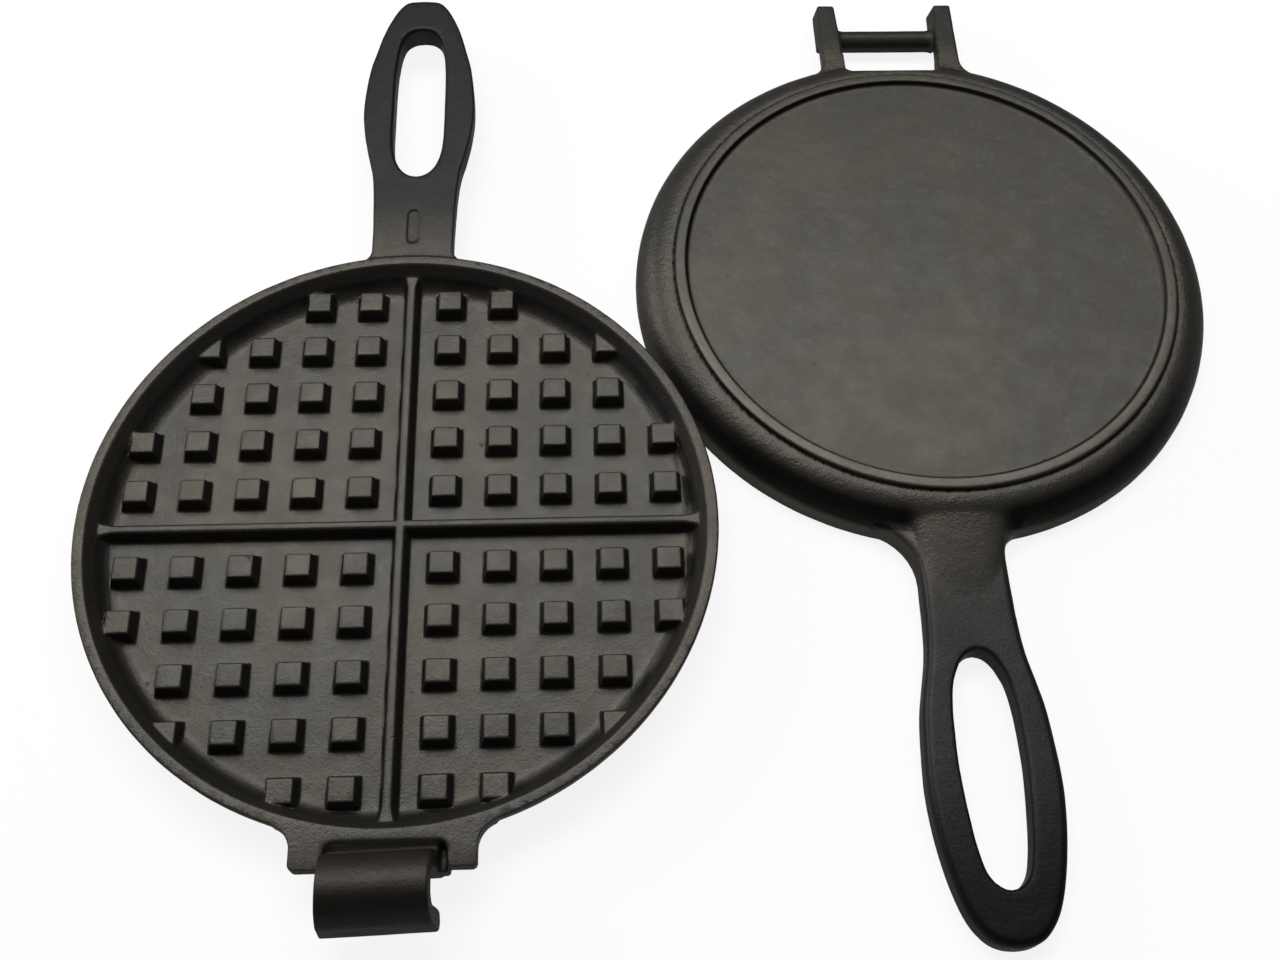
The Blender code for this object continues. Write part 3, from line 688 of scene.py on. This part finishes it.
def ear_corner():
    """Block that fills the corner between the ear and the straight edge of the plate."""
    bpy.ops.mesh.primitive_cube_add(
        size=1.0, location=(*EAR_CORNER_PLACE, (EAR_RELIEF + EAR_TOP) / 2),
        scale=(*EAR_CORNER_SIZE, EAR_TOP - EAR_RELIEF))
    bpy.ops.object.transform_apply()
    return bpy.context.object


def space_between_ears():
    """Cutter for the straight edge between the ears: upright, then leaning along the shoulder."""
    half = EAR_GAP - EAR_SPACE_PLAY
    rings = []
    for z in (-OVERRUN, EAR_FLAT_TOP, RING_TOP):
        y = PLATE_RADIUS - EAR_FLAT - EAR_FLAT_LEAN * max(0.0, z - EAR_FLAT_TOP)
        side = arc((half - EAR_INNER_FILLET, y + EAR_INNER_FILLET), EAR_INNER_FILLET,
                   -math.pi / 2, 0.0)
        side.append((half, PLATE_RADIUS + EAR_SPACE_PAST))
        rings.append([(x, y, z) for x, y in side + [(-x, y) for x, y in reversed(side)]])
    return drawn_out("space_between_ears", rings)


# ---- From pieces to a casting ----

def joined(things):
    """Join pieces into one object."""
    bpy.ops.object.select_all(action="DESELECT")
    for thing in things:
        thing.select_set(True)
    bpy.context.view_layer.objects.active = things[0]
    bpy.ops.object.join()
    return things[0]


def softened(casting, chosen, iterations):
    """Rub one place of a casting down to a wider fillet."""
    group = casting.vertex_groups.new(name="softened")
    spots = [vertex.index for vertex in casting.data.vertices if chosen(vertex.co)]
    group.add(spots, 1.0, "REPLACE")
    apply_modifier(casting, "SMOOTH", factor=0.5, vertex_group=group.name,
                   iterations=iterations)
    casting.vertex_groups.clear()


def at_handle_root(point):
    """True on the back of a casting where the shoulder runs into the handle's neck."""
    return (abs(point.x) < 30 * MM and point.z > 6.0 * MM and -128 * MM < point.y < -60 * MM
            and point.xy.length > RING_OUTER + 1.5 * MM)


def at_recess(point):
    """True round the recess of the lug, where the hook grows out."""
    return (abs(point.x) < 20.5 * MM and point.z < 5.0 * MM
            and PLATE_RADIUS - 1.5 * MM < point.y < HINGE_Y - HOOK_OUTER + 0.5 * MM)


def at_bar_ends(point):
    """True at the corners between the hinge bar, the ears and the edge of the plate."""
    return (EAR_GAP - 5.0 * MM < abs(point.x) < EAR_GAP + 1.2 * MM
            and PLATE_RADIUS - 2.5 * MM < point.y < HINGE_Y + 8.0 * MM)


def cast(name, pieces, turned_over, place, soft_places):
    """Melt the pieces into one casting with soft fillets, and lay it in its place."""
    casting = joined(pieces)
    casting.name = name
    casting.data.name = name
    apply_modifier(casting, "REMESH", mode="VOXEL", voxel_size=VOXEL, use_smooth_shade=True)
    apply_modifier(casting, "SMOOTH", factor=0.5, iterations=3)
    for chosen, iterations in soft_places:
        softened(casting, chosen, iterations)
    uneven = bpy.data.textures.new(name + "_unevenness", "CLOUDS")
    uneven.noise_scale = UNEVEN_SIZE
    uneven.noise_depth = 2
    apply_modifier(casting, "DISPLACE", texture=uneven, texture_coords="LOCAL", strength=UNEVENNESS,
                   mid_level=0.5)
    count = len(casting.data.loops) - 2 * len(casting.data.polygons)
    apply_modifier(casting, "DECIMATE", ratio=min(1.0, TRIANGLES / count))
    if turned_over:
        casting.rotation_euler = (math.pi, 0.0, 0.0)
    casting.location = place
    only(casting)
    bpy.ops.object.transform_apply(location=True, rotation=True, scale=True)
    bpy.ops.object.shade_smooth()
    return casting


def hook_casting():
    """Model the half with the hook, which lies with its inside up."""
    pieces = [plate(), studs(), rib(False), rib(True), dimple(handle(**HOOK_HANDLE)),
              saddle(HOOK_SADDLE_LENGTH), lug(), hook_root(), hook()]
    return cast("hook_casting", pieces, True, HOOK_PLATE, ((at_handle_root, 40), (at_recess, 24)))


def yoke_casting():
    """Model the half with the ears and the bar, which lies with its outside up."""
    body = plate()
    right = ear()
    corner = ear_corner()
    long_rib = rib(False)
    for piece in (body, long_rib, right, corner):
        cut(piece, space_between_ears())
    pieces = [body, studs(), long_rib, rib(True), saddle(YOKE_SADDLE_LENGTH), handle(**YOKE_HANDLE),
              right, mirrored(right), corner, mirrored(corner), bar()]
    return cast("yoke_casting", pieces, False, YOKE_PLATE,
                ((at_handle_root, 40), (at_bar_ends, 16)))


# ---- Materials ----

def colour(hex_value):
    """Linear colour of an sRGB hex value."""
    parts = [int(hex_value[start:start + 2], 16) / 255 for start in (1, 3, 5)]
    return tuple(part / 12.92 if part <= 0.04045 else ((part + 0.055) / 1.055) ** 2.4
                 for part in parts) + (1.0,)


def add_node(tree, kind, inputs=None, output=0, **settings):
    """Add a shader node with its settings and its inputs, as values or links; gives one output."""
    node = tree.nodes.new("ShaderNode" + kind)
    for key, value in settings.items():
        setattr(node, key, value)
    for key, value in (inputs or {}).items():
        if isinstance(value, bpy.types.NodeSocket):
            tree.links.new(value, node.inputs[key])
        else:
            node.inputs[key].default_value = value
    return node.outputs[output] if node.outputs else node


def new_material(name):
    """Material with an empty node tree."""
    material = bpy.data.materials.new(name)
    material.use_nodes = True
    material.node_tree.nodes.clear()
    return material, material.node_tree


def seasoned_iron(name, plate_centre, hinge_direction, ring_height, coats):
    """Grey cast iron, sand cast, with oil baked on: near black and satin, with a warm tinge.

    Sand leaves a fine grain, coarser on the shoulder, the handle and the hinge than on the ground
    disc. The iron is browner at the hinge. The handle is painted darker, as painted shade, and the
    yoke's handle tip darker still. Painted shade also darkens the ring's outer corner, its inner
    corner towards the hinge alone, the front of the shoulder beside the yoke's neck, the lug's
    recess and the low side of the hook's barrel. The ring's top is worn paler, and a painted
    highlight makes it paler still towards the handle.
    Sand grains are well under 0.8 mm; the grain is drawn that coarse so that it shows.
    """
    material, tree = new_material(name)
    place = add_node(tree, "TexCoord", output="Object")
    spot = add_node(tree, "SeparateXYZ", {0: place}, output=0).node.outputs
    level = add_node(tree, "CombineXYZ", {0: spot[0], 1: spot[1]})
    reach = add_node(tree, "VectorMath", {0: level, 1: (plate_centre.x, plate_centre.y, 0.0)},
                     output="Value", operation="DISTANCE")
    towards = add_node(tree, "Math", {0: spot[1], 1: plate_centre.y}, operation="SUBTRACT")
    towards = add_node(tree, "Math", {0: towards, 1: hinge_direction}, operation="MULTIPLY")
    patterns = {}
    for pattern, size, detail in (("cloud", 30, 3.0), ("patch", 9, 4.0), ("lump", 2.4, 3.0),
                                  ("grain", 0.8, 3.0)):
        patterns[pattern] = add_node(tree, "TexNoise", {"Vector": place, "Scale": 1 / (size * MM),
                                                        "Detail": detail})
    patterns["pits"] = add_node(tree, "TexVoronoi", {"Vector": place, "Scale": 1 / (9 * MM)},
                                output="Distance")
    # Each zone: the value that it follows, from where to where, and its share there
    smooth_to = coats["smooth_to"]
    zones = {}
    for zone, value, start, end, low, high in (
            ("hinge", towards, 98 * MM, 108 * MM, 0.0, coats["hinge"]),
            ("neck", towards, -92 * MM, -104 * MM, 0.0, 1.0),
            ("smooth_hinge", towards, 93 * MM, 98 * MM, 0.0, coats["smooth_hinge"]),
            # Painted shade on the low side of the hook's barrel, darkened against the floor's
            # reflection
            ("painted_shade_low_barrel", towards, 113 * MM, 119 * MM, 0.0, coats["painted_shade_low_barrel"]),
            # Painted shade: the handle is darkened for the light that falls off along it, and the
            # handle tip darker still on the yoke half
            ("handle", towards, -94 * MM, -128 * MM, 0.0, 0.9),
            ("painted_shade_handle_tip", towards, -165 * MM, -215 * MM, 0.0, coats["painted_shade_handle_tip"]),
            # Wear and painted highlight: the ring's top is worn paler, and painted paler still
            # towards the handle
            ("wear_and_highlight_side", towards, 20 * MM, -60 * MM, 0.1, 0.5),
            # Share of painted shade on the front of the shoulder beside the neck
            ("front", towards, -30 * MM, -75 * MM, 0.0, coats["front"]),
            ("lumpiness", reach, smooth_to, smooth_to + 3 * MM, 1.0, coats["lumps"]),
            ("graininess", reach, smooth_to, smooth_to + 3 * MM, 1.2, coats["grain"]),
            ("sand", reach, smooth_to, smooth_to + 3 * MM, coats["inside_sand"], 0.5),
            ("cloudy", patterns["cloud"], 0.35, 0.65, 0.0, 1.0),
            ("patchy", patterns["patch"], 0.5, 0.75, 0.0, 0.5),
            ("lumpy", patterns["lump"], 0.5, 0.7, 0.0, 0.25),
            ("gloss", patterns["patch"], 0.3, 0.7, 0.40, 0.46),
            ("pitted", patterns["cloud"], 0.5, 0.6, 0.0, -2.0),
            ("pits", patterns["pits"], 0.08, 0.03, 0.0, "pitted")):
        zones[zone] = add_node(tree, "MapRange", {0: value, 1: start, 2: end, 3: low,
                                                  4: zones.get(high, high)},
                               interpolation_type="SMOOTHSTEP")
    # Each band: the value that it follows, its middle, half width and soft edge, and its share
    ring_inner = RING_OUTER - RING_WIDTH
    for band, value, middle, half, soft, share in (
            # The ring's top: worn paler, with a painted highlight that grows towards the handle
            ("back_face", spot[2], ring_height, 0.9 * MM, 0.4 * MM, "wear_and_highlight_side"),
            ("ring_top", reach, RING_OUTER - RING_WIDTH / 2, 1.3 * MM, 0.5 * MM, "back_face"),
            # Painted shade in the corners beside the ring: the outer corner, and the inner corner
            # on the hinge side alone
            ("near_back", spot[2], ring_height, 3.0 * MM, 0.4 * MM, 0.8),
            ("painted_shade_outer_corner", reach, RING_OUTER + 0.4 * MM, 0.3 * MM, 0.4 * MM, "near_back"),
            ("hinge_side", towards, 100 * MM, 80 * MM, 70 * MM, "near_back"),
            ("painted_shade_inner_corner", reach, ring_inner - 0.4 * MM, 0.5 * MM, 0.8 * MM, "hinge_side"),
            # Painted shade on the steep front of the shoulder beside the yoke's neck, at mid height
            ("beside_neck", spot[0], plate_centre.x, 18.0 * MM, -7.0 * MM, "front"),
            ("shoulder_height", spot[2], 9.9 * MM, 2.5 * MM, 2.6 * MM, "beside_neck"),
            ("painted_shade_steep_shoulder", reach, 94.5 * MM, 5.0 * MM, 1.0 * MM, "shoulder_height"),
            # Painted shade: the lug's recess behind the hook is darkened, on the hook half alone
            ("recess_width", spot[0], plate_centre.x, 16.5 * MM, 2.0 * MM, coats["recess"]),
            ("recess", towards, 102.2 * MM, 1.5 * MM, 1.8 * MM, "recess_width")):
        away = add_node(tree, "Math", {0: value, 1: middle}, operation="SUBTRACT")
        away = add_node(tree, "Math", {0: away}, operation="ABSOLUTE")
        zones[band] = add_node(tree, "MapRange", {0: away, 1: half + soft, 2: half, 3: 0.0,
                                                  4: zones.get(share, share)},
                               interpolation_type="SMOOTHSTEP")
    tint = add_node(tree, "Mix", {0: zones["cloudy"], 6: colour("#3a3937"), 7: colour("#3f3c37")},
                    output=2, data_type="RGBA")
    # Painted shade: the low barrel, handle, handle tip, ring corner, steep shoulder and recess
    # tints darken where light falls off or shade falls; the ring top's tint is wear, with a painted
    # highlight in its share towards the handle
    for zone, hex_value in (("patchy", "#423c34"), ("lumpy", "#4a4740"), ("hinge", coats["tint"]),
                            ("painted_shade_low_barrel", "#171512"), ("handle", "#252423"),
                            ("painted_shade_handle_tip", "#141413"), ("ring_top", "#57534a"),
                            ("painted_shade_outer_corner", "#1a1815"), ("painted_shade_inner_corner", "#1a1815"),
                            ("painted_shade_steep_shoulder", "#0f0e0d"), ("recess", "#1c1713")):
        tint = add_node(tree, "Mix", {0: zones[zone], 6: tint, 7: colour(hex_value)}, output=2,
                        data_type="RGBA")
    rough = zones["gloss"]
    for zone, more in (("hinge", 0.10), ("recess", 0.20)):
        rough = add_node(tree, "Math", {0: zones[zone], 1: more, 2: rough},
                         operation="MULTIPLY_ADD")
    height = zones["pits"]
    for pattern, amount in (("lump", "lumpiness"), ("grain", "graininess")):
        height = add_node(tree, "Math", {0: patterns[pattern], 1: zones[amount], 2: height},
                          operation="MULTIPLY_ADD")
    strength = zones["sand"]
    for zone, more in (("hinge", 0.1), ("smooth_hinge", -0.3), ("neck", -0.27)):
        strength = add_node(tree, "Math", {0: zones[zone], 1: more, 2: strength},
                            operation="MULTIPLY_ADD")
    bump = add_node(tree, "Bump", {"Height": height, "Strength": strength, "Distance": 0.14 * MM})
    surface = add_node(tree, "BsdfPrincipled", {
        "Base Color": tint, "Roughness": rough, "Metallic": 0.75, "Specular IOR Level": 0.3,
        "Specular Tint": colour("#8c8c8c"), "Normal": bump})
    add_node(tree, "OutputMaterial", {"Surface": surface})
    return material


def white_paper():
    """Plain white paper sweep: matt, and shown white while it keeps the shadow."""
    material, tree = new_material("white_paper")
    path = add_node(tree, "LightPath").node.outputs
    seen = path["Is Camera Ray"]
    for ray in ("Is Glossy Ray", "Is Transmission Ray"):
        seen = add_node(tree, "Math", {0: seen, 1: path[ray]}, operation="MAXIMUM")
    share = add_node(tree, "Math", {0: seen, 1: FLOOR_GLOW}, operation="MULTIPLY")
    paper = add_node(tree, "BsdfDiffuse", {"Color": colour("#f4f4f2")})
    glow = add_node(tree, "Emission", {"Color": colour("#ffffff"), "Strength": 1.0})
    surface = add_node(tree, "MixShader", {0: share, 1: paper, 2: glow})
    add_node(tree, "OutputMaterial", {"Surface": surface})
    return material


# ---- Camera, light and floor ----

def camera():
    """Camera at the photograph's angle, with its small tilt."""
    level = math.cos(CAMERA_ELEVATION)
    back = Vector((math.sin(CAMERA_AZIMUTH) * level, -math.cos(CAMERA_AZIMUTH) * level,
                   math.sin(CAMERA_ELEVATION)))
    right = (-back).cross(Vector((0.0, 0.0, 1.0))).normalized()
    up = right.cross(-back)
    tilted_right = math.cos(CAMERA_ROLL) * right + math.sin(CAMERA_ROLL) * up
    tilted_up = -math.sin(CAMERA_ROLL) * right + math.cos(CAMERA_ROLL) * up
    turn = Matrix((tilted_right, tilted_up, back)).transposed()
    bpy.ops.object.camera_add(location=CAMERA_TARGET + CAMERA_DISTANCE * back,
                              rotation=turn.to_euler())
    bpy.context.object.data.lens = CAMERA_LENS
    bpy.context.object.data.sensor_width = 36.0
    bpy.context.object.data.clip_start = 10 * MM
    bpy.context.scene.camera = bpy.context.object


def softbox(name, azimuth, elevation, distance, width, height, power):
    """Soft area lamp that faces the middle of the table; azimuth runs from +Y towards +X."""
    turn, rise = math.radians(azimuth), math.radians(elevation)
    away = Vector((math.sin(turn) * math.cos(rise), math.cos(turn) * math.cos(rise),
                   math.sin(rise))).normalized()
    bpy.ops.object.light_add(type="AREA", location=away * distance,
                             rotation=away.to_track_quat("Z", "Y").to_euler())
    lamp = bpy.context.object
    lamp.name = name
    lamp.data.shape = "RECTANGLE"
    lamp.data.size = width
    lamp.data.size_y = height
    lamp.data.energy = power


def studio():
    """Floor, lamps, world and view settings."""
    bpy.ops.mesh.primitive_plane_add(size=FLOOR_SIZE, location=(0.0, 0.0, 0.0))
    floor = bpy.context.object
    floor.name = "floor"
    floor.data.materials.append(white_paper())
    for box in SOFTBOXES:
        softbox(*box)
    world = bpy.data.worlds.new("studio")
    world.use_nodes = True
    background = world.node_tree.nodes["Background"].inputs
    background["Color"].default_value = (1.0, 1.0, 1.0, 1.0)
    background["Strength"].default_value = WORLD_STRENGTH
    bpy.context.scene.world = world
    bpy.context.scene.view_settings.view_transform = "Standard"


def main():
    """Make both castings, dress them and set up the studio."""
    bpy.ops.object.select_all(action="DESELECT")
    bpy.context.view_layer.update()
    camera()
    studio()
    # The shares for the handle tip, the front of the shoulder, the low barrel and the recess are
    # painted shade
    hook_iron = seasoned_iron("seasoned_cast_iron_hook_half", HOOK_PLATE, -1.0, 0.0,
                              {"hinge": 0.7, "tint": "#302c28", "painted_shade_handle_tip": 0.0, "front": 0.0,
                               "painted_shade_low_barrel": 0.6, "recess": 0.6, "inside_sand": 0.6,
                               "smooth_to": 95 * MM, "lumps": 1.2, "grain": 1.9,
                               "smooth_hinge": 0.3})
    yoke_iron = seasoned_iron("seasoned_cast_iron_yoke_half", YOKE_PLATE, 1.0, RING_TOP,
                              {"hinge": 0.7, "tint": "#2b2a28", "painted_shade_handle_tip": 0.8, "front": 0.9,
                               "painted_shade_low_barrel": 0.0, "recess": 0.0, "inside_sand": 0.3,
                               "smooth_to": 87 * MM, "lumps": 2.8, "grain": 2.6,
                               "smooth_hinge": 1.0})
    for casting, node, iron in ((hook_casting(), "hook_half", hook_iron),
                                (yoke_casting(), "yoke_half", yoke_iron)):
        casting.data.materials.clear()
        casting.data.materials.append(iron)
        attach(casting, node)
        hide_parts(node)


main()
